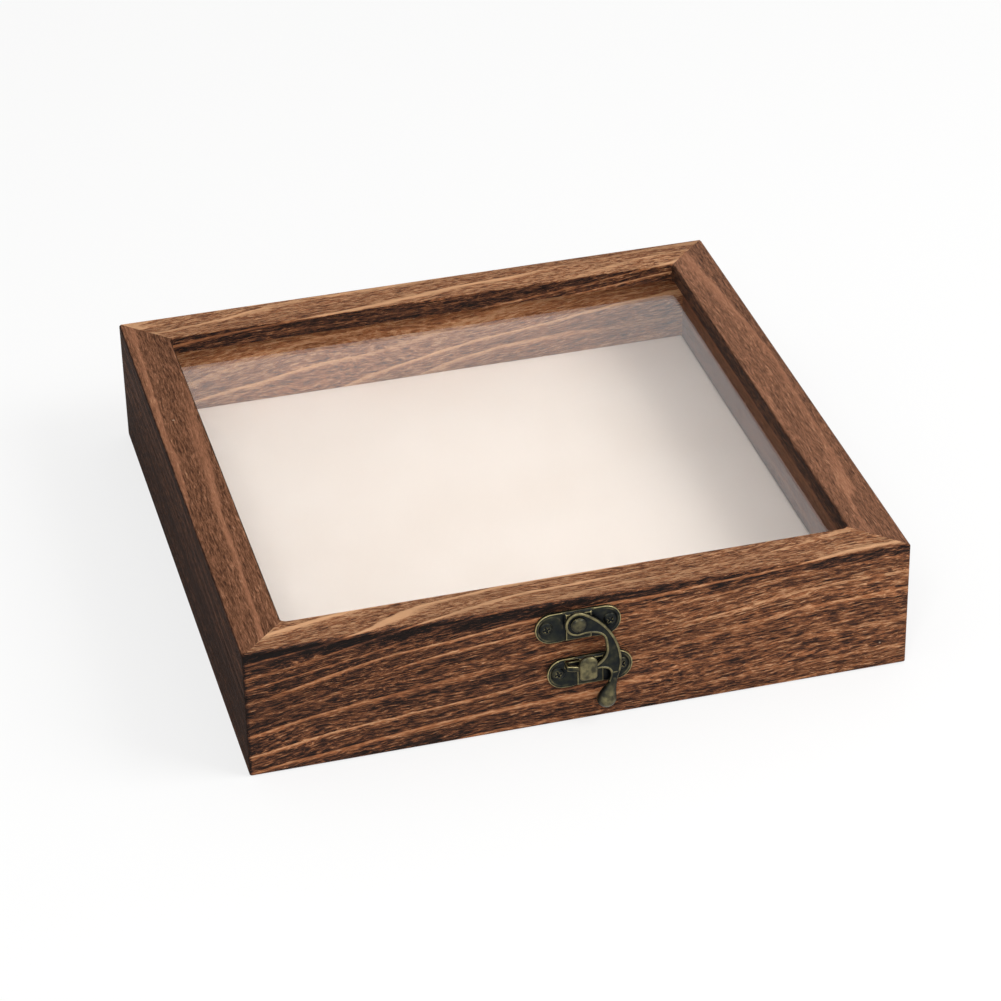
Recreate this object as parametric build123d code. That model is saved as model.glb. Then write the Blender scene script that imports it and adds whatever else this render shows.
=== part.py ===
from build123d import *
import math
import os

# Insect display case: a shallow wooden box with a glazed lid, a pinning pad, two butt hinges at
# the back and a swing latch at the front. Millimetres. X runs along the front, Y from the front
# to the back and Z up. The origin is the middle of the underside.

# Case
CASE_SIDE = 250.0
CASE_HEIGHT = 52.0
SEAM_HEIGHT = 33.5
WALL = 11.5
CORNER_RADIUS = 0.8
SEAM_CHAMFER = 0.25
FRONT_Y = -CASE_SIDE / 2
BACK_Y = CASE_SIDE / 2
ROOM = CASE_SIDE - 2 * WALL

# Bottom panel, let into a rabbet, and the pinning pad on it
PANEL_THICKNESS = 3.0
PANEL_RABBET = 5.0
PANEL_GAP = 0.2
PAD_THICKNESS = 10.0
PAD_GAP = 0.4
PAD_EDGE = 1.2

# Lid frame: mitred rails with a lip over the glass, which sits in a groove under the lip
RAIL_WIDTH = 18.0
LIP_THICKNESS = 7.4
LIP_CORNER_RADIUS = 2.5
LIP_EDGE = 0.7
GLASS_THICKNESS = 2.0
GROOVE_DEPTH = 3.0
GROOVE_GAP = 0.1
LID_OPENING = CASE_SIDE - 2 * RAIL_WIDTH
LIP_BOTTOM = CASE_HEIGHT - LIP_THICKNESS

# Butt hinges on the back face
HINGE_OFFSET = 70.0
HINGE_LENGTH = 22.0
LEAF_HEIGHT = 9.0
LEAF_THICKNESS = 0.8
LEAF_CORNER_RADIUS = 1.5
KNUCKLES = 3
KNUCKLE_GAP = 0.12
BARREL_RADIUS = 1.5
BARREL_CLEARANCE = 0.1
PIN_RADIUS = 0.7
PIN_RUNNING_GAP = 0.05
HINGE_AXIS_Y = BACK_Y + BARREL_RADIUS + BARREL_CLEARANCE
HINGE_AXIS_Z = SEAM_HEIGHT
HINGE_SCREW_SPACING = 13.0
HINGE_SCREW_HEIGHT = 5.6
HINGE_SCREW = (1.9, 0.5, 1.0, 8.0)

# Latch plates: one stamping for the lid and one like it for the base.
# Heights named RISE are measured outwards from the front face.
PLATE_LENGTH = 32.2
PLATE_WIDTH = 12.4
SHEET = 0.8
EAR_RISE = 1.4
EAR_EDGE = 0.4
BOWL_TOP_RADIUS = 4.6
BOWL_FLOOR_RADIUS = 3.0
BOWL_FLOOR_RISE = 0.7
MIDDLE_LENGTH = 11.0
MIDDLE_TAPER = 20.0
LATCH_RISE = 2.2
CATCH_RISE = 1.9
LATCH_CENTRE = (-2.4, 42.4)
CATCH_CENTRE = (1.9, 22.1)
LATCH_SCREW_SPACING = 24.0
LATCH_SCREW = (2.6, 1.0, 1.1, 7.5)

# Screws are given as head radius, head height, shank radius and length under the head
SHANK_SIDES = 8

# Pivot rivet and swing hook
PIVOT = (-3.0, 44.0)
BOSS_RADIUS = 4.9
HOOK_BACK = 2.3
HOOK_FRONT = 3.9
HOOK_RIM = 0.9
HOOK_RIM_DEPTH = 0.4
HOOK_EDGE = 0.3
RIVET_HEAD_RADIUS = 2.9
RIVET_HEAD_HEIGHT = 1.5
RIVET_HEAD_EDGE = 0.7
RIVET_SHANK_RADIUS = 1.5
RIVET_TAIL_RADIUS = 2.4
RIVET_TAIL_THICKNESS = 0.6
RUNNING_GAP = 0.05
AXIAL_GAP = 0.1
BOSS_TOP_ANGLE = 60.0
BOSS_LOW_ANGLE = -77.1
DROP_CENTRE = (7.6, 9.5)
DROP_RADIUS = 3.7
ARM_END_RADIUS = 3.5
ARM_END_ANGLE = 135.0
DROP_NECK = (9.0, 14.6)
DROP_NECK_RADIUS = 2.15
DROP_FRONT = 6.3
DROP_BEVELS = (1.5, 0.6)
RECESS_LOW = 21.0

# Keeper: a folded strip that stands out of the catch plate's window and ends in a thick head
HEAD_CENTRE = (0.2, 25.4)
HEAD_WIDTH = 6.8
HEAD_HEIGHT = 10.0
HEAD_BACK = 4.35
HEAD_FRONT = 6.1
HEAD_TOP_RADIUS = 3.0
HEAD_BOTTOM_RADIUS = 1.6
HEAD_EDGE = 0.6
STEM_LEFT = -7.4
STEM_Z = 25.3
STEM_WIDTH = 2.2
STEM_THICKNESS = 1.2
STEM_LEFT_RISE = 3.6
STEM_RIGHT_RISE = 5.5
FOOT_RIGHT = 1.6
WINDOW_RIGHT = -2.1
WINDOW_LOW = 24.0
WINDOW_HIGH = 27.6


def front(x, z, rise=0.0):
    """A plane on the front face, with its normal pointing out of the case."""
    return Plane(origin=(x, FRONT_Y - rise, z), x_dir=(1, 0, 0), z_dir=(0, -1, 0))


def back(x, z, rise=0.0):
    """A plane on the back face, with its normal pointing out of the case."""
    return Plane(origin=(x, BACK_Y + rise, z), x_dir=(-1, 0, 0), z_dir=(0, 1, 0))


def block(side, low, high, corner=0.0):
    """A square block about the Z axis, with rounded upright edges where a radius is given."""
    solid = Pos(0, 0, (low + high) / 2) * Box(side, side, high - low)
    return fillet(solid.edges().filter_by(Axis.Z), corner) if corner else solid


def mitred(ring):
    """Cut a square ring into its four mitred lengths."""
    reach = CASE_SIDE
    wedge = extrude(Plane.XY * Polygon((0, 0), (-reach, -reach), (reach, -reach), align=None), CASE_HEIGHT)
    turns = {"front": 0, "right": 90, "back": 180, "left": 270}
    return {side: ring & Rot(0, 0, turn) * wedge for side, turn in turns.items()}


def base_boards():
    """The four walls of the box, with a rabbet for the bottom panel."""
    outer = block(CASE_SIDE, 0, SEAM_HEIGHT, CORNER_RADIUS)
    outer = chamfer(outer.edges().group_by(Axis.Z)[0] + outer.edges().group_by(Axis.Z)[-1], SEAM_CHAMFER)
    ring = outer - block(ROOM, 0, SEAM_HEIGHT) - block(ROOM + 2 * PANEL_RABBET, 0, PANEL_THICKNESS)
    return mitred(ring)


def lid_rails():
    """The four rails of the lid: a wall below, a lip above and the glass groove between."""
    outer = block(CASE_SIDE, SEAM_HEIGHT, CASE_HEIGHT, CORNER_RADIUS)
    outer = chamfer(outer.edges().group_by(Axis.Z)[-1], LIP_EDGE)
    outer = chamfer(outer.edges().group_by(Axis.Z)[0], SEAM_CHAMFER)
    groove_low = LIP_BOTTOM - GLASS_THICKNESS - GROOVE_GAP
    ring = outer - block(LID_OPENING, SEAM_HEIGHT, CASE_HEIGHT, LIP_CORNER_RADIUS)
    reach = LID_OPENING / 2 + LIP_EDGE
    top_edges = ring.edges().group_by(Axis.Z)[-1]
    inner_rim = top_edges.filter_by(lambda edge: max(abs(edge.center().X), abs(edge.center().Y)) < reach)
    ring = chamfer(inner_rim, LIP_EDGE)
    ring -= block(ROOM, SEAM_HEIGHT, LIP_BOTTOM)
    ring -= block(ROOM + 2 * GROOVE_DEPTH, groove_low, LIP_BOTTOM)
    return mitred(ring)


def glass_pane():
    side = ROOM + 2 * GROOVE_DEPTH - 2 * GROOVE_GAP
    return block(side, LIP_BOTTOM - GLASS_THICKNESS, LIP_BOTTOM)


def bottom_panel():
    side = ROOM + 2 * PANEL_RABBET - 2 * PANEL_GAP
    return block(side, 0, PANEL_THICKNESS)


def foam_pad():
    side = ROOM - 2 * PAD_GAP
    pad = block(side, PANEL_THICKNESS, PANEL_THICKNESS + PAD_THICKNESS)
    return chamfer(pad.edges().group_by(Axis.Z)[-1], PAD_EDGE)


def screw(head_radius, head_height, shank_radius, length):
    """A flat-topped screw: local Z = 0 is the face that its head bears on."""
    head = Pos(0, 0, head_height / 2) * Cylinder(head_radius, head_height)
    return head + extrude(RegularPolygon(shank_radius, SHANK_SIDES), -length)


def latch_screws(centre):
    """The two screws in the ears of the plate about a centre."""
    middles = [centre[0] + end * LATCH_SCREW_SPACING / 2 for end in (-1, 1)]
    return [front(x, centre[1], BOWL_FLOOR_RISE) * screw(*LATCH_SCREW) for x in middles]


def hinge_screws(side):
    """The four screws in the two base leaves (side -1) or lid leaves (side 1)."""
    height = HINGE_AXIS_Z + side * HINGE_SCREW_HEIGHT
    middles = [hinge * HINGE_OFFSET + end * HINGE_SCREW_SPACING / 2 for hinge in (-1, 1) for end in (-1, 1)]
    return [back(x, height, LEAF_THICKNESS) * screw(*HINGE_SCREW) for x in middles]


def hinge_leaf(centre_x, side):
    """A leaf with its knuckles: both outer ones on the base (side -1), the middle one on the lid (side 1)."""
    sheet_y = BACK_Y + LEAF_THICKNESS / 2
    tall = Box(HINGE_LENGTH, LEAF_THICKNESS, LEAF_HEIGHT)
    tall = Pos(centre_x, sheet_y, HINGE_AXIS_Z + side * LEAF_HEIGHT / 2) * tall
    far_edges = tall.edges().filter_by(Axis.Y).group_by(Axis.Z)[-1 if side > 0 else 0]
    leaf = fillet(far_edges, LEAF_CORNER_RADIUS)
    pitch = HINGE_LENGTH / KNUCKLES
    own_bore = PIN_RADIUS if side > 0 else PIN_RADIUS + PIN_RUNNING_GAP
    notch = Box(pitch + KNUCKLE_GAP, LEAF_THICKNESS, 2 * (BARREL_RADIUS + 2 * BARREL_CLEARANCE))
    for number in range(KNUCKLES):
        x = centre_x + (number - (KNUCKLES - 1) / 2) * pitch
        at_axis = Pos(x, HINGE_AXIS_Y, HINGE_AXIS_Z) * Rot(0, 90, 0)
        own = (number % 2 == 1) == (side > 0)
        if own:
            leaf += at_axis * Cylinder(BARREL_RADIUS, pitch - KNUCKLE_GAP)
        else:
            leaf -= Pos(x, sheet_y, HINGE_AXIS_Z) * notch
    bore = Pos(centre_x, HINGE_AXIS_Y, HINGE_AXIS_Z) * Rot(0, 90, 0) * Cylinder(own_bore, HINGE_LENGTH)
    return leaf - bore


def hinge_pin(centre_x):
    """The pin, as long as the barrel and flush with its ends."""
    return Pos(centre_x, HINGE_AXIS_Y, HINGE_AXIS_Z) * Rot(0, 90, 0) * Cylinder(PIN_RADIUS, HINGE_LENGTH)


def latch_plate(centre, rise):
    """A pressed plate: rounded ears with a bowl at each screw and a raised, hollow middle."""
    outline = SlotOverall(PLATE_LENGTH, PLATE_WIDTH)
    plate = extrude(outline, EAR_RISE)
    plate = chamfer(plate.edges().group_by(Axis.Z)[-1], EAR_EDGE)
    depth = EAR_RISE - BOWL_FLOOR_RISE
    bowl = Pos(0, 0, EAR_RISE - depth / 2) * Cone(BOWL_FLOOR_RADIUS, BOWL_TOP_RADIUS, depth)
    for end in (-1, 1):
        plate -= Pos(end * LATCH_SCREW_SPACING / 2, 0, 0) * bowl
    plate += extrude(Rectangle(MIDDLE_LENGTH, PLATE_WIDTH), rise, taper=MIDDLE_TAPER)
    inner = Rectangle(MIDDLE_LENGTH - 2 * SHEET, PLATE_WIDTH - 2 * SHEET)
    return front(*centre) * (plate - extrude(inner, rise - SHEET, taper=MIDDLE_TAPER))


def pivot_rivet():
    """The rivet that the hook turns on: dished tail behind the plate, rounded head in front."""
    head_low = HOOK_FRONT - HOOK_RIM_DEPTH + AXIAL_GAP
    head = Pos(0, 0, head_low + RIVET_HEAD_HEIGHT / 2) * Cylinder(RIVET_HEAD_RADIUS, RIVET_HEAD_HEIGHT)
    head = chamfer(head.edges().group_by(Axis.Z)[-1], RIVET_HEAD_EDGE)
    tail_top = LATCH_RISE - SHEET
    shank = Pos(0, 0, (tail_top + head_low) / 2) * Cylinder(RIVET_SHANK_RADIUS, head_low - tail_top)
    tail = Cylinder(RIVET_TAIL_RADIUS, RIVET_TAIL_THICKNESS)
    tail = Pos(0, 0, tail_top - RIVET_TAIL_THICKNESS / 2) * tail
    return front(*PIVOT) * (head + shank + tail)


def on_circle(centre, radius, degrees):
    """The point of a circle at this angle."""
    angle = math.radians(degrees)
    return (centre[0] + radius * math.cos(angle), centre[1] + radius * math.sin(angle))


def arcs(start, tangent, *ends):
    """A chain of arcs through the given points, each tangent to the one before it."""
    chain = []
    for end in ends:
        chain.append(TangentArc(start, end, tangent=tangent))
        start, tangent = end, chain[-1] % 1
    return chain


def hook_outline():
    """The flat outline of the whole hook, clockwise from its boss, with X along the front and Y up it."""
    boss_top = on_circle(PIVOT, BOSS_RADIUS, BOSS_TOP_ANGLE)
    boss_low = on_circle(PIVOT, BOSS_RADIUS, BOSS_LOW_ANGLE)
    boss = ThreePointArc(boss_low, on_circle(PIVOT, BOSS_RADIUS, 180), boss_top)
    end_right = on_circle(DROP_CENTRE, ARM_END_RADIUS, 0)
    end_left = on_circle(DROP_CENTRE, ARM_END_RADIUS, ARM_END_ANGLE)
    outer = arcs(boss_top, boss % 1, (9.9, 37.6), (13.3, 25.4), (12.4, 20.0), (11.289, 15.0), end_right)
    end = ThreePointArc(end_right, on_circle(DROP_CENTRE, ARM_END_RADIUS, -90), end_left)
    neck = arcs(end_left, end % 1, (9.0, 18.6), (8.9, 21.2), (7.3, 22.8), (2.0, 22.7), (1.4, 23.9))
    inner = arcs(neck[-1] @ 1, neck[-1] % 1, (5.2, 26.5), (7.5, 31.5), (7.0, 35.6), (4.6, 38.6), boss_low)
    return make_face([boss, *outer, end, *neck, *inner])


def above(face, low):
    """The share of a flat face above this height."""
    return face & Pos(0, low + CASE_SIDE / 2) * Rectangle(CASE_SIDE, CASE_SIDE)


def hook_drop():
    """The thick teardrop at the hook's end, bevelled twice towards its front."""
    circles = Pos(*DROP_CENTRE) * Circle(DROP_RADIUS) + Pos(*DROP_NECK) * Circle(DROP_NECK_RADIUS)
    drop = extrude(make_hull(circles.edges()), DROP_FRONT - HOOK_BACK)
    for bevel in DROP_BEVELS:
        drop = chamfer(drop.edges().group_by(Axis.Z)[-1], bevel)
    return drop


def swing_hook():
    """The cast hook: boss, curved arm with a raised rim, beak and teardrop finger end."""
    outline = hook_outline()
    thickness = HOOK_FRONT - HOOK_BACK
    hook = extrude(outline, thickness)
    hook = chamfer(hook.edges().group_by(Axis.Z)[-1], HOOK_EDGE)
    recess = above(offset(outline, -HOOK_RIM), RECESS_LOW)
    hook -= Pos(0, 0, thickness - HOOK_RIM_DEPTH) * extrude(recess, HOOK_RIM_DEPTH)
    hook -= Pos(*PIVOT, thickness / 2) * Cylinder(RIVET_SHANK_RADIUS + RUNNING_GAP, thickness)
    return front(0, 0, HOOK_BACK) * (hook + hook_drop())


def keeper_head():
    """The thick rounded head of the keeper, flat behind so that the beak can slide in."""
    face = Rectangle(HEAD_WIDTH, HEAD_HEIGHT)
    face = fillet(face.vertices().group_by(Axis.Y)[-1], HEAD_TOP_RADIUS)
    face = fillet(face.vertices().group_by(Axis.Y)[0], HEAD_BOTTOM_RADIUS)
    head = extrude(face, HEAD_FRONT - HEAD_BACK)
    head = chamfer(head.edges().group_by(Axis.Z)[-1], HEAD_EDGE)
    return Pos(*HEAD_CENTRE, HEAD_BACK) * head


def catch_keeper():
    """The keeper: a strip folded out of the plate's window, from its foot to the head."""
    foot_top = CATCH_RISE - SHEET
    foot_low = foot_top - SHEET
    leg_right = STEM_LEFT + STEM_THICKNESS
    head_side = HEAD_CENTRE[0] - HEAD_WIDTH / 2 + HEAD_TOP_RADIUS / 2
    strip = FilletPolyline(
        (FOOT_RIGHT, foot_low), (STEM_LEFT, foot_low), (STEM_LEFT, STEM_LEFT_RISE),
        (head_side, STEM_RIGHT_RISE), radius=SHEET,
    )
    inside = Polyline(
        (head_side, STEM_RIGHT_RISE), (head_side, STEM_RIGHT_RISE - STEM_THICKNESS),
        (leg_right, STEM_LEFT_RISE - STEM_THICKNESS), (leg_right, foot_top), (FOOT_RIGHT, foot_top),
        (FOOT_RIGHT, foot_low),
    )
    side_view = Plane.XZ * make_face([strip, inside])
    fold = Pos(0, STEM_Z, 0) * extrude(side_view, STEM_WIDTH / 2, both=True)
    return front(0, 0) * (fold + keeper_head())


def catch_window():
    """The slot in the catch plate that the keeper's strip comes out of."""
    width, height = WINDOW_RIGHT - STEM_LEFT, WINDOW_HIGH - WINDOW_LOW
    middle = front(STEM_LEFT + width / 2, WINDOW_LOW + height / 2)
    return middle * Box(width, height, 4 * CATCH_RISE)


def display_case():
    """Every piece of the case by name."""
    pieces = {}
    screws = {
        "latch_screws": latch_screws(LATCH_CENTRE),
        "catch_screws": latch_screws(CATCH_CENTRE),
        "hinge_base_screws": hinge_screws(-1),
        "hinge_lid_screws": hinge_screws(1),
    }
    for name, group in screws.items():
        pieces[name] = Compound(group)
    board_screws = {"front": screws["catch_screws"], "back": screws["hinge_base_screws"]}
    for side, board in base_boards().items():
        pieces[f"base_{side}_board"] = board - board_screws.get(side, [])
    rail_screws = {"front": screws["latch_screws"], "back": screws["hinge_lid_screws"]}
    for side, rail in lid_rails().items():
        pieces[f"lid_{side}_rail"] = rail - rail_screws.get(side, [])
    pieces["bottom_panel"] = bottom_panel()
    pieces["foam_pad"] = foam_pad()
    pieces["glass_pane"] = glass_pane()
    for name, x in (("left", -HINGE_OFFSET), ("right", HINGE_OFFSET)):
        pieces[f"hinge_{name}_base_leaf"] = hinge_leaf(x, -1) - screws["hinge_base_screws"]
        pieces[f"hinge_{name}_lid_leaf"] = hinge_leaf(x, 1) - screws["hinge_lid_screws"]
        pieces[f"hinge_{name}_pin"] = hinge_pin(x)
    pieces["pivot_rivet"] = pivot_rivet()
    latch = latch_plate(LATCH_CENTRE, LATCH_RISE)
    pieces["latch_plate"] = latch - pieces["pivot_rivet"] - screws["latch_screws"]
    pieces["swing_hook"] = swing_hook()
    pieces["catch_keeper"] = catch_keeper()
    catch = latch_plate(CATCH_CENTRE, CATCH_RISE)
    pieces["catch_plate"] = catch - catch_window() - screws["catch_screws"]
    return pieces


os.makedirs("parts", exist_ok=True)
for node, piece in display_case().items():
    export_step(piece, f"parts/{node}.step")
    print(node, f"{piece.volume:.1f} mm3")
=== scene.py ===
# %% [markdown]
# # A charred-wood insect display case
# The case is a shallow square box with a glazed lid. Its boards are paulownia that was torched
# and brushed, so soft fibre is gone and hard grain stands up. This notebook dresses the
# measured frame: it gives wood, glass and metal their finishes, lays a foam pad in the box and
# softens the latch castings. One unit is a metre, X runs along the front and Z is up.

# %% Load the frame
import math

import bpy
from mathutils import Matrix, Vector


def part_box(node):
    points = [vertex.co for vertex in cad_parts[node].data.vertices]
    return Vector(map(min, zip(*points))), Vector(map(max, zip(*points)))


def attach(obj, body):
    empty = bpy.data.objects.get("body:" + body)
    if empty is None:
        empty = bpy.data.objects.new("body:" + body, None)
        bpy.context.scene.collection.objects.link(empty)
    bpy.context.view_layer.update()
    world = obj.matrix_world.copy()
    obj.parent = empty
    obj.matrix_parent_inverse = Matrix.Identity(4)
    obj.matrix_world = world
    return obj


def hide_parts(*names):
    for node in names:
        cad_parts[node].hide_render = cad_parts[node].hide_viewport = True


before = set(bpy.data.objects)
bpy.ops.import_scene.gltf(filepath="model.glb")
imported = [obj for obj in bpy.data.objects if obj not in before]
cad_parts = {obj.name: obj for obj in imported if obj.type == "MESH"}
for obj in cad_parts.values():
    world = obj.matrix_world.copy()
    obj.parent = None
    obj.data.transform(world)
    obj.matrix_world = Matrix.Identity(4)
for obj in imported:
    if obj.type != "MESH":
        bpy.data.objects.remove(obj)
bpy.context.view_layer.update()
MM = 0.001

# %% [markdown]
# ## The camera
# The photograph looks down on the front of the case from its left, with a long lens, so the
# far edges shrink only a little. The place and the lens come from fitting the case's corners.
# A camera looks along its own minus Z, so its matrix is built from three directions and a point.

# %% Camera
AZIMUTH = math.radians(-14.46)
ELEVATION = math.radians(32.10)
ROLL = math.radians(-1.34)
CAMERA_PLACE = Vector((-0.2895, -1.1319, 0.7517))
LENS = 126.27
SENSOR_WIDTH = 36.0


def camera_directions():
    """The camera's right, up and backward directions."""
    forward = Vector((
        -math.sin(AZIMUTH) * math.cos(ELEVATION),
        math.cos(AZIMUTH) * math.cos(ELEVATION),
        -math.sin(ELEVATION),
    ))
    level = forward.cross(Vector((0, 0, 1))).normalized()
    above = level.cross(forward)
    right = level * math.cos(ROLL) + above * math.sin(ROLL)
    up = above * math.cos(ROLL) - level * math.sin(ROLL)
    return right, up, -forward


camera_data = bpy.data.cameras.new("view_camera")
camera_data.lens = LENS
camera_data.sensor_width = SENSOR_WIDTH
camera = bpy.data.objects.new("view_camera", camera_data)
bpy.context.scene.collection.objects.link(camera)
camera.matrix_world = Matrix.Translation(CAMERA_PLACE) @ Matrix(camera_directions()).transposed().to_4x4()
bpy.context.scene.camera = camera
print("camera at", [round(value, 3) for value in camera.location])

# %% [markdown]
# ## Colours and nodes
# Colours are picked as hex values, the way a picture editor shows them, but shaders work with
# linear light. One function converts them. Another adds a node with its settings and its
# links, which keeps each recipe below short enough to read as a list.

# %% Helpers for materials


def colour(hexadecimal):
    """The linear colour of an sRGB hex value."""
    channels = [int(hexadecimal[place:place + 2], 16) / 255 for place in (1, 3, 5)]
    linear = [c / 12.92 if c <= 0.04045 else ((c + 0.055) / 1.055) ** 2.4 for c in channels]
    return (*linear, 1.0)


def add(tree, kind, inputs=None, **settings):
    """Add a node: settings are its own fields, and inputs hold values or sockets to link."""
    made = tree.nodes.new(kind)
    for field, value in settings.items():
        setattr(made, field, value)
    for name, value in (inputs or {}).items():
        if isinstance(value, bpy.types.NodeSocket):
            tree.links.new(value, made.inputs[name])
        else:
            made.inputs[name].default_value = value
    return made


def ramp(tree, factor, stops):
    """A colour ramp through (place, hex) stops."""
    made = add(tree, "ShaderNodeValToRGB", {"Fac": factor})
    line = made.color_ramp.elements
    while len(line) < len(stops):
        line.new(0.5)
    for element, (place, shade) in zip(line, stops):
        element.position = place
        element.color = colour(shade)
    return made.outputs["Color"]


def between(tree, value, low, high, start=0.0, end=1.0):
    """A value moved from one range to another, held at the ends and eased between."""
    inputs = {"Value": value, "From Min": low, "From Max": high, "To Min": start, "To Max": end}
    return add(tree, "ShaderNodeMapRange", inputs, interpolation_type="SMOOTHSTEP").outputs["Result"]


def maths(tree, operation, first, second=0.0):
    """One step of arithmetic."""
    return add(tree, "ShaderNodeMath", {0: first, 1: second}, operation=operation).outputs["Value"]


def blended(tree, factor, under, over):
    """Two colours mixed by a factor. A Mix node keeps its colours in sockets 6, 7 and output 2."""
    inputs = {0: factor, 6: under, 7: over}
    return add(tree, "ShaderNodeMix", inputs, data_type="RGBA").outputs[2]


def new_material(name):
    """A material with only a Principled shader, and the tree it is in."""
    material = bpy.data.materials.new(name)
    material.use_nodes = True
    tree = material.node_tree
    tree.nodes.clear()
    surface = add(tree, "ShaderNodeBsdfPrincipled")
    output = add(tree, "ShaderNodeOutputMaterial", {"Surface": surface.outputs["BSDF"]})
    return material, tree, surface, output


# %% [markdown]
# ## Charred and brushed paulownia
# Torching blackens the soft early wood, and a wire brush then clears it away. Each year
# leaves two things: a smooth orange line of hard late wood, and beside it a wider band of
# early wood that is torn into short dark and light threads less than a millimetre high. The
# pattern is solid, so it runs on over the edges of a board. Slow noise first pushes the
# points about, which makes the lines wander. The same height gives the colour and the relief,
# so dark always lies low.

# %% Charred wood
RING_SPACING = 6.4
THREAD_HEIGHT = 0.62
RELIEF = 0.4 * MM
SLOPE = math.radians(4.5)
# Painted light: how much lighter the top faces are made
TOP_PAINTED_LIGHT = 0.62
# Plain inner wood is lighter; the same lift also paints the glass's hazy reflection onto the inner walls
INNER_TONE_AND_HAZE = 1.0
# Painted shade: how much darker the left outer face is made
FLANK_PAINTED_SHADE = 0.7
# How much darker the lip's inner faces above the glass are made
LIP_DARKENING = 0.5
EDGE_CHAR = 0.95
CHIP_SPACING = 13.0
RAGGED_SIZE = 9.0

# Where each change of tone sets in and where it is full, in millimetres
FRONT_SIDE = (-122.0, -124.6)
LEFT_SIDE = (-123.6, -124.8)
TOP_SIDE = (51.5, 51.9)
SCORCH_HEIGHT = (45.0, 51.0)
SCORCH_ALONG = (70.0, -10.0)
# Painted shade: where the front face starts to darken towards its left end, and where it is full
FRONT_SHADE_ALONG = (90.0, -120.0)
INNER_WALL = (114.0, 113.0)
UNDER_LIP = (44.0, 43.0)
LIP_SIDE = (107.8, 107.1)
OVER_GLASS = (44.0, 45.0)


def vector_maths(tree, operation, first, second):
    """One step of vector arithmetic."""
    return add(tree, "ShaderNodeVectorMath", {0: first, 1: second}, operation=operation).outputs["Vector"]


def noise(tree, point, along, size, detail, output="Fac", crisp=0.5):
    """Noise whose features are size millimetres across and drawn out along the grain."""
    squeezed = vector_maths(tree, "MULTIPLY", point, (along, 1, 1))
    inputs = {"Vector": squeezed, "Scale": 1 / size, "Detail": detail, "Roughness": crisp}
    return add(tree, "ShaderNodeTexNoise", inputs).outputs[output]


def grain_point(tree, quarter_turn, place, pushes):
    """Object coordinates in millimetres with the grain along X, pushed about by slow noise."""
    spot = add(tree, "ShaderNodeTexCoord").outputs["Object"]
    turned = {"Vector": spot, "Rotation": (0, SLOPE, quarter_turn), "Location": place}
    turned["Scale"] = (1 / MM, 1 / MM, 1 / MM)
    point = add(tree, "ShaderNodeMapping", turned).outputs["Vector"]
    for size, reach in pushes:
        push = vector_maths(tree, "SUBTRACT", noise(tree, point, 0.25, size, 2.0, "Color"), (0.5, 0.5, 0.5))
        point = vector_maths(tree, "ADD", point, vector_maths(tree, "MULTIPLY", push, (0, reach, reach)))
    return point


def late_wood(tree, point):
    """The hard line of each year's ring: rises slowly from 0 and ends sharply at 1."""
    slant = {0: point, 1: (0, 0.6, 0.8)}
    across = add(tree, "ShaderNodeVectorMath", slant, operation="DOT_PRODUCT").outputs["Value"]
    years = maths(tree, "MULTIPLY", across, 1 / RING_SPACING)
    years = maths(tree, "ADD", years, maths(tree, "MULTIPLY", noise(tree, point, 0.08, 16.0, 1.0), 1.8))
    season = maths(tree, "FRACT", years)
    line = maths(tree, "MULTIPLY", between(tree, season, 0.66, 0.92), between(tree, season, 1.0, 0.95))
    clear = between(tree, noise(tree, point, 0.03, 15.0, 1.0), 0.38, 0.58, 0.4, 1.0)
    return maths(tree, "MULTIPLY", line, clear)


def centred(tree, value, reach):
    """Noise moved to both sides of zero and scaled."""
    return maths(tree, "MULTIPLY", maths(tree, "SUBTRACT", value, 0.5), reach)


def cloud(tree, size, detail):
    """Plain noise over the object, with features this many millimetres across."""
    spot = add(tree, "ShaderNodeTexCoord").outputs["Object"]
    inputs = {"Vector": spot, "Scale": 1 / (size * MM), "Detail": detail}
    return add(tree, "ShaderNodeTexNoise", inputs).outputs["Fac"]


def zone(tree, place, reach, start=0.0, end=1.0):
    """A share that sets in over a reach in millimetres."""
    return between(tree, place, reach[0] * MM, reach[1] * MM, start, end)


def burn_and_painted_light(tree):
    """A change of tone for each part, and the share of plain inner wood: the tone holds the torch's scorch
    and a darker lip, painted light on the top faces, and painted shade on the left flank and towards the
    front's left end.
    """
    spot = add(tree, "ShaderNodeTexCoord").outputs["Object"]
    split = add(tree, "ShaderNodeSeparateXYZ", {"Vector": spot}).outputs
    along, deep, high = split["X"], split["Y"], split["Z"]
    front = zone(tree, deep, FRONT_SIDE)
    ragged = centred(tree, cloud(tree, RAGGED_SIZE, 3.0), RAGGED_SIZE * MM)
    edge = maths(tree, "MULTIPLY", zone(tree, maths(tree, "ADD", high, ragged), SCORCH_HEIGHT), front)
    edge = maths(tree, "MULTIPLY", edge, zone(tree, along, SCORCH_ALONG, 0.8, 1.0))
    # Painted shade: the front face darkens towards its left end
    left = maths(tree, "MULTIPLY", front, zone(tree, along, FRONT_SHADE_ALONG, -0.1, 0.34))
    wide = maths(tree, "MAXIMUM", maths(tree, "ABSOLUTE", along), maths(tree, "ABSOLUTE", deep))
    inside = maths(tree, "MULTIPLY", zone(tree, wide, INNER_WALL), zone(tree, high, UNDER_LIP))
    lip = maths(tree, "MULTIPLY", zone(tree, wide, LIP_SIDE), zone(tree, high, OVER_GLASS))
    top = zone(tree, high, TOP_SIDE)
    # Painted shade on the left outer face, below its top
    flank = maths(tree, "MULTIPLY", zone(tree, along, LEFT_SIDE), maths(tree, "SUBTRACT", 1.0, top))
    # Painted light: the top faces start lighter
    change = maths(tree, "MULTIPLY", top, TOP_PAINTED_LIGHT)
    for share, depth in ((lip, LIP_DARKENING), (edge, EDGE_CHAR), (flank, FLANK_PAINTED_SHADE), (left, 1.0)):
        change = maths(tree, "SUBTRACT", change, maths(tree, "MULTIPLY", share, depth))
    return change, inside


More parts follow.
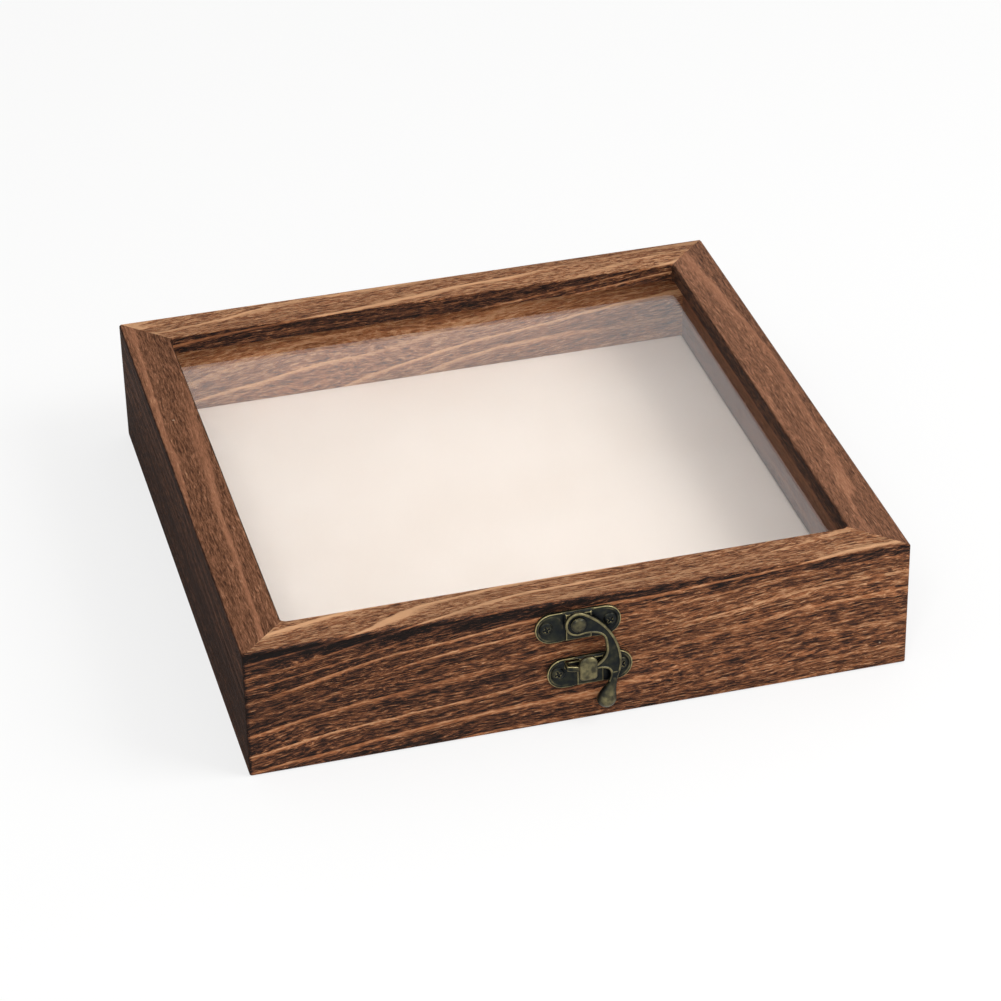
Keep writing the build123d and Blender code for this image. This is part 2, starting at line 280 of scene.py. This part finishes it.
def chips(tree):
    """Tiny pale spots where char and fibre chipped off."""
    spot = add(tree, "ShaderNodeTexCoord").outputs["Object"]
    cells = add(tree, "ShaderNodeTexVoronoi", {"Vector": spot, "Scale": 1 / (CHIP_SPACING * MM)})
    lot = add(tree, "ShaderNodeSeparateColor", {"Color": cells.outputs["Color"]}).outputs["Red"]
    few = between(tree, lot, 0.7, 0.72)
    return maths(tree, "MULTIPLY", between(tree, cells.outputs["Distance"], 0.045, 0.03), few)


def charred_wood(name, quarter_turn, place, shades, char, threads=1.0, lines=1.0, shine=0.12, sweep=44):
    """Torched and brushed wood: shades run from the valleys to the crests of the grain."""
    material, tree, surface, _ = new_material(name)
    point = grain_point(tree, quarter_turn, place, ((80, sweep), (7, 1.6)))
    kinked = grain_point(tree, quarter_turn, place, ((80, sweep), (9, 3.4), (2.4, 1.3)))
    late = late_wood(tree, point)
    torn = centred(tree, noise(tree, kinked, 0.1, THREAD_HEIGHT, 4.0, crisp=0.68), 5.8 * threads)
    loose = centred(tree, noise(tree, kinked, 0.05, 0.7, 1.0), 1.0)
    loose = between(tree, maths(tree, "ABSOLUTE", loose), 0.035, 0.0)
    calm = between(tree, late, 0.0, 1.0, 1.0, 0.35)
    torn = maths(tree, "ADD", torn, maths(tree, "MULTIPLY", loose, 0.75 * threads))
    torn = maths(tree, "MULTIPLY", torn, calm)
    fibre = centred(tree, noise(tree, point, 0.1, 0.26, 2.0), 1.3)
    bands = centred(tree, noise(tree, point, 0.05, 11.0, 3.0), 1.5)
    height = maths(tree, "ADD", torn, maths(tree, "MULTIPLY", late, 1.1 * lines))
    change, inside = burn_and_painted_light(tree)
    tone = maths(tree, "ADD", maths(tree, "ADD", height, fibre), bands)
    # Inside, the grain is calmed and the wood made lighter: plain inner wood, and a painted haze of the
    # glass's reflection
    tone = maths(tree, "MULTIPLY", tone, between(tree, inside, 0.0, 1.0, 1.0, 0.25))
    tone = maths(tree, "ADD", maths(tree, "ADD", tone, change), maths(tree, "MULTIPLY", inside, INNER_TONE_AND_HAZE))
    stops = list(zip((0.08, 0.3, 0.5, 0.72, 0.98), shades))
    shade = ramp(tree, maths(tree, "ADD", maths(tree, "MULTIPLY", tone, 0.4), char), stops)
    shade = blended(tree, maths(tree, "MULTIPLY", chips(tree), 0.8), shade, colour("#C9A98E"))
    height = maths(tree, "ADD", height, maths(tree, "MULTIPLY", fibre, 0.5))
    bump = add(tree, "ShaderNodeBump", {"Height": height, "Strength": 1.0, "Distance": RELIEF * threads})
    tree.links.new(shade, surface.inputs["Base Color"])
    tree.links.new(bump.outputs["Normal"], surface.inputs["Normal"])
    surface.inputs["Roughness"].default_value = 0.65
    surface.inputs["Specular IOR Level"].default_value = shine
    return material


QUARTER = math.pi / 2
DEEP = ("#19110E", "#3A241C", "#6D442F", "#A86942", "#DBA67B")
EVEN = ("#2C1C15", "#543525", "#775039", "#96654B", "#BC8A68")
front_wood = charred_wood("charred_front_wood", 0.0, (31, 17, 5), DEEP, 0.46)
back_wood = charred_wood("charred_back_wood", 0.0, (230, 70, 40), DEEP, 0.5)
left_wood = charred_wood(
    "charred_left_wood", QUARTER, (0, 150, 90), EVEN, 0.29, threads=0.75, lines=0.5, shine=0.03, sweep=14,
)
right_wood = charred_wood(
    "charred_right_wood", QUARTER, (410, 33, 12), EVEN, 0.295, threads=0.65, lines=0.5, shine=0.1, sweep=14,
)
woods = {"front": front_wood, "back": back_wood, "left": left_wood, "right": right_wood}
print("wood recipes", len(woods))


def paint(node, material):
    """Give a frame piece one material."""
    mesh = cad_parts[node].data
    mesh.materials.clear()
    mesh.materials.append(material)


for side, wood in woods.items():
    paint(f"base_{side}_board", wood)
    paint(f"lid_{side}_rail", wood)

# %% [markdown]
# ## The bottom panel
# The bottom is thin plywood, unstained. Only its underside shows, when the case is turned over.

# %% Plywood


def plywood():
    """Pale rotary-cut veneer with long soft figure."""
    material, tree, surface, _ = new_material("plywood_veneer")
    point = grain_point(tree, 0.0, (80, 10, 0), ((40, 18),))
    figure = noise(tree, point, 0.08, 9.0, 3.0)
    fibre = noise(tree, point, 0.03, 0.6, 2.0)
    shade = ramp(tree, figure, [(0.3, "#7E5A41"), (0.55, "#98704F"), (0.75, "#AB835F")])
    shade = blended(tree, between(tree, fibre, 0.4, 0.6, 0.0, 0.3), shade, colour("#6A4832"))
    bump = add(tree, "ShaderNodeBump", {"Height": fibre, "Strength": 0.5, "Distance": 0.08 * MM})
    tree.links.new(shade, surface.inputs["Base Color"])
    tree.links.new(bump.outputs["Normal"], surface.inputs["Normal"])
    surface.inputs["Roughness"].default_value = 0.7
    return material


paint("bottom_panel", plywood())

# %% [markdown]
# ## Glass
# Float glass is clear, with a green cast only at its edge. It mirrors the room at a low angle,
# and that makes the wall behind it look hazy. Rays from lamps would be blocked by a solid
# pane, so they are let through by a Transparent shader.

# %% Float glass
GLASS_INDEX = 1.5


def float_glass():
    """Clear glass that lets lamp light through."""
    material, tree, surface, output = new_material("float_glass")
    surface.inputs["Base Color"].default_value = colour("#FCFDFD")
    surface.inputs["Roughness"].default_value = 0.0
    surface.inputs["IOR"].default_value = GLASS_INDEX
    surface.inputs["Transmission Weight"].default_value = 1.0
    surface.inputs["Specular IOR Level"].default_value = 1.0
    clear = add(tree, "ShaderNodeBsdfTransparent", {"Color": colour("#F7F9F8")})
    lamp_ray = add(tree, "ShaderNodeLightPath").outputs["Is Shadow Ray"]
    shaders = {0: lamp_ray, 1: surface.outputs["BSDF"], 2: clear.outputs["BSDF"]}
    both = add(tree, "ShaderNodeMixShader", shaders)
    tree.links.new(both.outputs["Shader"], output.inputs["Surface"])
    return material


paint("glass_pane", float_glass())

# %% [markdown]
# ## Tools for pieces
# The pieces below are modelled rather than taken over from the frame, and they share a few
# steps: select one, apply a modifier, apply a placing, and hand the finished piece over with
# its name, its finish, the body that it rides on and the frame nodes that it stands for.

# %% Tools for pieces


def select_only(thing):
    """Select one object and make it the active one."""
    bpy.ops.object.select_all(action="DESELECT")
    thing.select_set(True)
    bpy.context.view_layer.objects.active = thing


def apply_modifier(thing, kind, **settings):
    """Add a modifier, set it and apply it."""
    select_only(thing)
    modifier = thing.modifiers.new(kind.lower(), kind)
    for field, value in settings.items():
        setattr(modifier, field, value)
    bpy.ops.object.modifier_apply(modifier=modifier.name)


def apply_place(thing):
    """Move an object's place, turn and size into its mesh."""
    select_only(thing)
    bpy.ops.object.transform_apply(location=True, rotation=True, scale=True)


def dress(thing, name, material, slot, body, *nodes):
    """Name a finished piece, give it its finish and let it stand for frame nodes."""
    thing.name = name
    thing.data.name = name
    thing.data.materials.clear()
    thing.data.materials.append(material)
    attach(thing, body)
    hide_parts(*nodes)
    print(name, len(thing.data.polygons), "faces")


# %% [markdown]
# ## The pinning pad
# The pad is a square of cream foam, cut a little small so that it drops into the box. Cut
# foam has soft edges and a very fine cell. The block starts as a cube at the size that the
# frame gives. Its top edges are bevelled, and its face is divided so that it can be uneven
# by a tenth of a millimetre, as foam is.

# %% Foam pad
FOAM_EDGE = 1.4 * MM
FOAM_STEP = 60
FOAM_UNEVEN = 0.12 * MM
FOAM_CELL = 0.45 * MM
FOAM_WAVES = (71, 53)


def foam():
    """Cream closed-cell foam: matt, with cells half a millimetre wide."""
    material, tree, surface, _ = new_material("cream_foam")
    spot = add(tree, "ShaderNodeTexCoord").outputs["Object"]
    cells = add(tree, "ShaderNodeTexVoronoi", {"Vector": spot, "Scale": 1 / FOAM_CELL}).outputs["Distance"]
    shade = ramp(tree, cloud(tree, 45.0, 3.0), [(0.35, "#E7D7CC"), (0.65, "#EBDCD2")])
    shade = blended(tree, between(tree, cells, 0.0, 0.5, 0.12, 0.0), shade, colour("#BFA593"))
    bump = add(tree, "ShaderNodeBump", {"Height": cells, "Strength": 0.35, "Distance": 0.08 * MM})
    tree.links.new(shade, surface.inputs["Base Color"])
    tree.links.new(bump.outputs["Normal"], surface.inputs["Normal"])
    surface.inputs["Roughness"].default_value = 0.95
    surface.inputs["Specular IOR Level"].default_value = 0.25
    return material


def foam_block():
    """A soft-edged block the size of the frame's pad, with a slightly uneven top."""
    low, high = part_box("foam_pad")
    size = high - low
    bpy.ops.object.select_all(action="DESELECT")
    bpy.ops.mesh.primitive_cube_add(size=1, location=(low + high) / 2, scale=size)
    block = bpy.context.object
    apply_place(block)
    bpy.ops.object.mode_set(mode="EDIT")
    bpy.ops.mesh.select_all(action="SELECT")
    bpy.ops.mesh.bevel(offset=FOAM_EDGE, segments=4, affect="EDGES")
    bpy.ops.object.mode_set(mode="OBJECT")
    for number in range(1, FOAM_STEP):
        for axis in (0, 1):
            point, normal = [0, 0, 0], [0, 0, 0]
            point[axis] = low[axis] + size[axis] * number / FOAM_STEP
            normal[axis] = 1
            bpy.ops.object.mode_set(mode="EDIT")
            bpy.ops.mesh.select_all(action="SELECT")
            bpy.ops.mesh.bisect(plane_co=point, plane_no=normal)
            bpy.ops.object.mode_set(mode="OBJECT")
    for vertex in block.data.vertices:
        if vertex.co.z > high.z - FOAM_EDGE / 2:
            wave = math.sin(vertex.co.x * FOAM_WAVES[0]) * math.sin(vertex.co.y * FOAM_WAVES[1] + 1) - 1
            vertex.co.z += FOAM_UNEVEN * wave / 2
    bpy.ops.object.shade_smooth()
    return block


pad = foam_block()
dress(pad, "pinning_pad", foam(), "pinning_foam", "base", "foam_pad")

# %% [markdown]
# ## Antique bronze
# The latch is steel or zinc, plated, blackened and then rubbed: the black-green stain stays
# in the hollows, and the brass shows where fingers and packing rub the edges. Each piece
# brings an attribute called wear_and_highlight, which says in millimetres how far a place
# stands out, and ambient occlusion tells which places lie deep. Together they put the rubbed
# edges and the stain in place; they also paint highlights on the parts that stand out, and
# painted shade with a dark painted reflection in the hollows.

# %% Antique bronze
# Where along Y, in millimetres, handling begins to rub the metal and where it rubs it fully; the same rub
# paints a highlight on the parts that stand forward
HANDLED_AND_HIGHLIT = (-128.8, -131.4)


def antique_bronze():
    """Blackened brass plate, rubbed bright on its edges, with painted highlights where it stands out and
    painted shade in its hollows.
    """
    material, tree, surface, _ = new_material("antique_bronze")
    spot = add(tree, "ShaderNodeTexCoord").outputs["Object"]
    grime = cloud(tree, 2.5, 4.0)
    fine = cloud(tree, 0.3, 2.0)
    wear_and_highlight = add(tree, "ShaderNodeAttribute", attribute_name="wear_and_highlight").outputs["Fac"]
    open_air = add(tree, "ShaderNodeAmbientOcclusion", {"Distance": 3.0 * MM}, samples=8).outputs["AO"]
    shade = ramp(tree, grime, [(0.35, "#14181A"), (0.55, "#24261F"), (0.75, "#3E3B2C")])
    # Painted shade and a dark painted reflection in the hollows, over the real black-green stain that lies
    # there
    shade = blended(tree, between(tree, open_air, 0.65, 0.99), colour("#080D12"), shade)
    # Rubbed edges: real rubbing, and also a painted highlight on edges and domes that stand out
    worn_and_highlit = maths(tree, "ADD", wear_and_highlight, centred(tree, grime, 0.06))
    worn_and_highlit = between(tree, worn_and_highlit, 0.008, 0.11)
    proud = add(tree, "ShaderNodeSeparateXYZ", {"Vector": spot}).outputs["Y"]
    patchy = between(tree, grime, 0.3, 0.7, 0.1, 0.42)
    # Parts that stand forward are rubbed brighter: real handling, and also a painted highlight
    rubbed_and_highlit = maths(tree, "MULTIPLY", zone(tree, proud, HANDLED_AND_HIGHLIT), patchy)
    worn_and_highlit = maths(tree, "MAXIMUM", worn_and_highlit, rubbed_and_highlit)
    # Brass where the metal is rubbed, which also serves as the painted highlight
    shade = blended(tree, worn_and_highlit, shade, colour("#B0A374"))
    bump = add(tree, "ShaderNodeBump", {"Height": fine, "Strength": 0.25, "Distance": 0.05 * MM})
    tree.links.new(shade, surface.inputs["Base Color"])
    tree.links.new(between(tree, worn_and_highlit, 0.0, 1.0, 0.38, 0.3), surface.inputs["Roughness"])
    tree.links.new(bump.outputs["Normal"], surface.inputs["Normal"])
    surface.inputs["Metallic"].default_value = 0.8
    return material


bronze = antique_bronze()

# %% [markdown]
# ## Soft edges for cast and pressed metal
# A casting has no sharp edge, and neither has thin plate that was stamped and tumbled. The
# frame has the exact shapes, so each piece starts as a copy of its node. The copy is welded
# and rebuilt from small even squares with a Remesh modifier. Its front is then pressed: a
# rule gives the rise of the metal above the wood for each place, in millimetres. Smoothing
# rounds every edge by about a fifth of a millimetre. A second, stronger smoothing of a twin
# shows which places stand out: the distance between the two is kept as wear_and_highlight,
# which rubs the edges bright and also paints highlights where the metal stands out. A Remesh
# modifier needs closed meshes. The usual tolerance of a cut, a tenth of a millimetre, is
# coarse for parts half a millimetre high and leaves them open, so a much finer one is set.

# %% Softened and pressed copies
SHEET_STEP = 0.14 * MM
CUT_TOLERANCE = 0.0001 * MM
FRONT_FACE = -125.0
FACING = -0.35
WEAR_AND_HIGHLIGHT_ROUNDS = 36
EAR_RADIUS = 6.2
EAR_CENTRE = 9.9
EAR_RISE = 1.4
BOWL_RISE = 0.72
SCREW_REACH = 12.0
DISH_RISE = 0.45
DISH_RADIUS = 5.0
BEAD = (0.9, 1.9)
MIDDLE_EDGE = 5.6
MIDDLE_BLEND = 0.8
RIVET_CENTRE = (-3.0, 44.0)
RIVET_RADIUS = 2.9
RIVET_RIM = 3.85
RIVET_DOME = 1.5


def welded_copy(node):
    """A copy of a frame node whose loose triangles are merged."""
    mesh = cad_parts[node].data.copy()
    made = bpy.data.objects.new(node + "_copy", mesh)
    bpy.context.scene.collection.objects.link(made)
    select_only(made)
    bpy.ops.object.mode_set(mode="EDIT")
    bpy.ops.mesh.select_all(action="SELECT")
    bpy.ops.mesh.remove_doubles(threshold=0.001 * MM)
    bpy.ops.object.mode_set(mode="OBJECT")
    return made


def rebuild(thing, step):
    """Rebuild a closed mesh from small even squares."""
    apply_modifier(thing, "REMESH", mode="VOXEL", voxel_size=step)
    return thing


def cut_away(thing, place, direction):
    """Cut a mesh by a plane, drop what lies on the side of the direction and close it."""
    select_only(thing)
    bpy.ops.object.mode_set(mode="EDIT")
    bpy.ops.mesh.select_all(action="SELECT")
    bpy.ops.mesh.bisect(
        plane_co=place, plane_no=direction, clear_outer=True, use_fill=True, threshold=CUT_TOLERANCE,
    )
    bpy.ops.object.mode_set(mode="OBJECT")


def unite(thing, others):
    """Unite closed meshes that overlap into one skin, which a remesh needs to come out clean."""
    for other in others:
        apply_modifier(thing, "BOOLEAN", operation="UNION", solver="EXACT", object=other)
        bpy.data.objects.remove(other)
    return thing


def rub(thing, rounds):
    """Round every edge by smoothing, and keep how far each place stands out, for rubbed edges and painted
    highlights.
    """
    apply_modifier(thing, "SMOOTH", factor=0.5, iterations=rounds)
    select_only(thing)
    bpy.ops.object.shade_smooth()
    twin = bpy.data.objects.new("twin", thing.data.copy())
    bpy.context.scene.collection.objects.link(twin)
    apply_modifier(twin, "SMOOTH", factor=0.5, iterations=WEAR_AND_HIGHLIGHT_ROUNDS)
    wear_and_highlight = thing.data.attributes.new("wear_and_highlight", "FLOAT", "POINT")
    for vertex, smoothed, stored in zip(thing.data.vertices, twin.data.vertices, wear_and_highlight.data):
        stored.value = (vertex.co - smoothed.co).dot(vertex.normal) / MM
    bpy.data.objects.remove(twin)
    return thing


def press(thing, rule):
    """Move the front of a mesh to the rise that a rule gives for each place."""
    facing = [vertex.normal.y < FACING for vertex in thing.data.vertices]
    for vertex, is_front in zip(thing.data.vertices, facing):
        if is_front:
            place = vertex.co / MM
            vertex.co.y = (FRONT_FACE - rule(place.x, place.z, FRONT_FACE - place.y)) * MM
    return thing


def eased(value, low, high):
    """A value between two limits as a share from 0 to 1, eased at both ends."""
    share = min(max((value - low) / (high - low), 0.0), 1.0)
    return share * share * (3 - 2 * share)


def dished_ears(centre_x, centre_z):
    """A plate's ears: a raised bead round the outline and a bowl inside it."""
    def rule(x, z, rise):
        along = abs(x - centre_x)
        inside = EAR_RADIUS - math.hypot(max(0.0, along - EAR_CENTRE), z - centre_z)
        dish = BOWL_RISE + DISH_RISE * (math.hypot(along - SCREW_REACH, z - centre_z) / DISH_RADIUS) ** 2
        bowl = EAR_RISE - (EAR_RISE - min(dish, EAR_RISE)) * eased(inside, *BEAD)
        return rise + (bowl - rise) * eased(along, MIDDLE_EDGE, MIDDLE_EDGE + MIDDLE_BLEND)
    return rule


def button(x, z, rise):
    """The rivet's head as a low dome."""
    reach = min(math.hypot(x - RIVET_CENTRE[0], z - RIVET_CENTRE[1]) / RIVET_RADIUS, 1.0)
    return rise if rise < RIVET_RIM else RIVET_RIM + RIVET_DOME * math.sqrt(1 - reach * reach)


def as_folded(x, z, rise):
    """The keeper keeps the rise that its fold gives it."""
    return rise


for node, name, body, rule, rounds in (
    ("latch_plate", "pressed_latch_plate", "lid", dished_ears(-2.4, 42.4), 8),
    ("catch_plate", "pressed_catch_plate", "base", dished_ears(1.9, 22.1), 8),
    ("catch_keeper", "folded_keeper", "base", as_folded, 26),
    ("pivot_rivet", "rivet_button", "lid", button, 8),
):
    shaped = press(rebuild(welded_copy(node), SHEET_STEP), rule)
    dress(rub(shaped, rounds), name, bronze, "antique_bronze", body, node)

# %% [markdown]
# ## The hook
# The hook is one casting: a flat arm with a raised rim, and a finger end like a drop. The
# frame's drop is bevelled in flat steps, so it is cut off the copy and grown again from balls
# that overlap along a curve. A Boolean modifier unites the balls and the arm, one by one, and
# the remesh then finds one closed skin, with nothing left inside it.

# %% Swing hook
HOOK_STEP = 0.13 * MM
CUT_HEIGHT = 16.9 * MM
HOOK_BACK = 2.3
BACK_STEP = 0.01
HOOK_ROUNDS = 12
DROP_RISE = 3.1
DROP_RISE_LOSS = 0.2
DROP_DEPTH = 1.2
DROP_DEPTH_GAIN = 2.2
DROP_LINE = (
    (10.35, 17.9, 1.30), (10.25, 16.8, 1.40), (9.7, 15.2, 1.75),
    (8.9, 13.5, 2.35), (8.2, 11.6, 3.05), (7.6, 9.5, 3.72),
)
STEPS_BETWEEN = 4


def drop_balls():
    """Balls along the drop's centre line: X, Z, radius, rise and depth, in millimetres."""
    balls = []
    for first, last in zip(DROP_LINE, DROP_LINE[1:]):
        for step in range(STEPS_BETWEEN):
            share = step / STEPS_BETWEEN
            balls.append([a + (b - a) * share for a, b in zip(first, last)])
    balls.append(list(DROP_LINE[-1]))
    slim, stout = DROP_LINE[0][2], DROP_LINE[-1][2]
    for ball in balls:
        share = (ball[2] - slim) / (stout - slim)
        ball.extend((DROP_RISE - DROP_RISE_LOSS * share, DROP_DEPTH + DROP_DEPTH_GAIN * share))
    return balls


def finger_drop():
    """A drop that tapers up into the hook's neck, flat just in front of the hook's back face."""
    balls = []
    for x, z, radius, rise, depth in drop_balls():
        bpy.ops.object.select_all(action="DESELECT")
        place = Vector((x, FRONT_FACE - rise, z)) * MM
        size = Vector((radius, depth, radius)) * MM
        bpy.ops.mesh.primitive_uv_sphere_add(segments=32, ring_count=16, radius=1, location=place, scale=size)
        balls.append(bpy.context.object)
        apply_place(balls[-1])
    drop = unite(balls[0], balls[1:])
    cut_away(drop, (0, (FRONT_FACE - HOOK_BACK - BACK_STEP) * MM, 0), (0, 1, 0))
    return drop


def cast_hook():
    """The arm from the frame and the drop, melted together."""
    arm = welded_copy("swing_hook")
    cut_away(arm, (0, 0, CUT_HEIGHT), (0, 0, -1))
    return rub(rebuild(unite(arm, [finger_drop()]), HOOK_STEP), HOOK_ROUNDS)


dress(cast_hook(), "cast_hook", bronze, "antique_bronze", "latch_hook", "swing_hook")

# %% [markdown]
# ## Screws
# Small pan-head screws with a cross hold the latch and the hinges. The head is the top of a
# squashed ball, the shank a tapering cone, and the cross is cut with two thin blocks by a
# Boolean modifier. One screw is made in each size, lying along Z, and copied to its places,
# each with its own turn, because nobody lines up the crosses.

# %% Pan-head screws
CROSS_WIDTH = 0.33
CROSS_LENGTH = 1.15
CROSS_TURNS = (0.3, 0.9, -0.2, 0.6)
CROSS_HEIGHT = 1.1
HEAD_CUT = 0.02 * MM
SHANK_OVERLAP = 0.2 * MM
SHANK_TIP = 0.4
SHANK_TOP = 0.92
SCREW_STEP = 0.09 * MM
SCREW_ROUNDS = 6


def pan_screw(head_radius, head_height, shank_radius, length):
    """A domed head with a cross, and its shank, with the face it bears on at Z = 0."""
    bpy.ops.object.select_all(action="DESELECT")
    dome = (head_radius, head_radius, head_height)
    bpy.ops.mesh.primitive_uv_sphere_add(segments=48, ring_count=24, radius=1, scale=dome)
    head = bpy.context.object
    apply_place(head)
    cut_away(head, (0, 0, HEAD_CUT), (0, 0, -1))
    for turn in (0, QUARTER):
        bpy.ops.object.select_all(action="DESELECT")
        slot = (CROSS_LENGTH * head_radius, CROSS_WIDTH * head_radius, CROSS_HEIGHT * head_height)
        bpy.ops.mesh.primitive_cube_add(size=1, location=(0, 0, head_height), scale=slot)
        cutter = bpy.context.object
        cutter.rotation_euler.z = turn
        apply_place(cutter)
        apply_modifier(head, "BOOLEAN", operation="DIFFERENCE", object=cutter)
        bpy.data.objects.remove(cutter)
    bpy.ops.object.select_all(action="DESELECT")
    bpy.ops.mesh.primitive_cone_add(
        vertices=32, radius1=SHANK_TIP * shank_radius, radius2=SHANK_TOP * shank_radius, depth=length,
        location=(0, 0, SHANK_OVERLAP - length / 2),
    )
    return rub(rebuild(unite(head, [bpy.context.object]), SCREW_STEP), SCREW_ROUNDS)


def screw_group(pattern, name, body, node, places, facing):
    """Copies of a screw at their places, joined to one piece that stands for the node."""
    copies = []
    for number, place in enumerate(places):
        made = bpy.data.objects.new(name, pattern.data.copy())
        bpy.context.scene.collection.objects.link(made)
        turn = Matrix.Rotation(facing, 4, "X") @ Matrix.Rotation(CROSS_TURNS[number], 4, "Z")
        made.data.transform(Matrix.Translation(place) @ turn)
        copies.append(made)
    bpy.ops.object.select_all(action="DESELECT")
    for made in copies:
        made.select_set(True)
    bpy.context.view_layer.objects.active = copies[0]
    bpy.ops.object.join()
    dress(copies[0], name, bronze, "antique_bronze", body, node)


def screw_places(node, head_radius, bearing):
    """Where the outer screws of a node are, from the node's box, with Y on the bearing face."""
    low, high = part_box(node)
    height = (low.z + high.z) / 2
    return [Vector((x, bearing, height)) for x in (low.x + head_radius, high.x - head_radius)]


LATCH_HEAD = 2.6 * MM
BOWL_FLOOR = -125.7 * MM
latch_pattern = pan_screw(LATCH_HEAD, head_height=1.05 * MM, shank_radius=1.1 * MM, length=7.4 * MM)
for kind, body in (("latch", "lid"), ("catch", "base")):
    places = screw_places(f"{kind}_screws", LATCH_HEAD, BOWL_FLOOR)
    screw_group(latch_pattern, f"{kind}_pan_screws", body, f"{kind}_screws", places, QUARTER)
bpy.data.objects.remove(latch_pattern)

HINGE_HEAD = 1.9 * MM
LEAF_FACE = 125.8 * MM
HINGE_SCREW_SPACING = 13 * MM
hinge_pattern = pan_screw(HINGE_HEAD, head_height=0.5 * MM, shank_radius=1.0 * MM, length=7.9 * MM)
for body in ("lid", "base"):
    first, last = screw_places(f"hinge_{body}_screws", HINGE_HEAD, LEAF_FACE)
    step = Vector((HINGE_SCREW_SPACING, 0, 0))
    places = [first, first + step, last - step, last]
    screw_group(hinge_pattern, f"hinge_{body}_pan_screws", body, f"hinge_{body}_screws", places, -QUARTER)
bpy.data.objects.remove(hinge_pattern)

# %% [markdown]
# ## Hinges
# The butt hinges at the back are thin pressed leaves round a pin, softened like the latch.

# %% Hinge leaves
LEAF_STEP = 0.17 * MM
LEAF_ROUNDS = 5

for side in ("left", "right"):
    for body in ("base", "lid"):
        leaf = rub(rebuild(welded_copy(f"hinge_{side}_{body}_leaf"), LEAF_STEP), LEAF_ROUNDS)
        dress(leaf, f"{side}_{body}_hinge_leaf", bronze, "antique_bronze", body, f"hinge_{side}_{body}_leaf")
    paint(f"hinge_{side}_pin", bronze)

# %% [markdown]
# ## The floor, the room and the lamps
# The photograph has a plain white ground. The floor is nearly white and keeps the shadow of
# the case. The sky is white for the camera, for mirrors and through glass, but lights the
# wood more gently, so that the lamps can give the top, the front and the side their own level.

# %% Stage and light
SKY_LIGHT = 0.62
FLOOR_SIZE = 6.0
FLOOR_LEVEL = -0.4 * MM
LAMP_AIM = Vector((0, 0, 0.03))
GROUND_WHITE = 0.7


def stage_floor():
    """A wide pale floor."""
    bpy.ops.object.select_all(action="DESELECT")
    bpy.ops.mesh.primitive_plane_add(size=FLOOR_SIZE, location=(0, 0, FLOOR_LEVEL))
    floor = bpy.context.object
    floor.name = "stage_floor"
    material, tree, surface, output = new_material("pale_floor")
    surface.inputs["Base Color"].default_value = colour("#F4F4F3")
    surface.inputs["Roughness"].default_value = 0.9
    seen = add(tree, "ShaderNodeLightPath").outputs["Is Camera Ray"]
    white = add(tree, "ShaderNodeEmission", {"Color": (1, 1, 1, 1), "Strength": 1.0}).outputs["Emission"]
    share = maths(tree, "MULTIPLY", seen, GROUND_WHITE)
    mixed = add(tree, "ShaderNodeMixShader", {0: share, 1: surface.outputs["BSDF"], 2: white})
    tree.links.new(mixed.outputs["Shader"], output.inputs["Surface"])
    floor.data.materials.append(material)


def sky():
    """A white sky that is full strength only where it is seen."""
    world = bpy.data.worlds.new("studio_sky")
    world.use_nodes = True
    tree = world.node_tree
    tree.nodes.clear()
    path = add(tree, "ShaderNodeLightPath")
    seen = maths(tree, "MAXIMUM", path.outputs["Is Camera Ray"], path.outputs["Is Glossy Ray"])
    seen = maths(tree, "MAXIMUM", seen, path.outputs["Is Transmission Ray"])
    direct = maths(tree, "LESS_THAN", path.outputs["Diffuse Depth"], 0.5)
    seen = maths(tree, "MULTIPLY", seen, direct)
    strength = between(tree, seen, 0.0, 1.0, SKY_LIGHT, 1.0)
    light = add(tree, "ShaderNodeBackground", {"Color": (1, 1, 1, 1), "Strength": strength})
    add(tree, "ShaderNodeOutputWorld", {"Surface": light.outputs["Background"]})
    bpy.context.scene.world = world


def lamp(name, place, size, power):
    """A square softbox that points at the case."""
    data = bpy.data.lights.new(name, "AREA")
    data.energy = power
    data.size = size
    made = bpy.data.objects.new(name, data)
    bpy.context.scene.collection.objects.link(made)
    made.location = place
    made.rotation_euler = (LAMP_AIM - Vector(place)).to_track_quat("-Z", "Y").to_euler()


stage_floor()
sky()
lamp("key_softbox", (1.2, -0.7, 1.25), size=1.0, power=18)
lamp("front_softbox", (-0.55, -1.3, 1.3), size=0.5, power=9)
bpy.context.scene.view_settings.view_transform = "Standard"
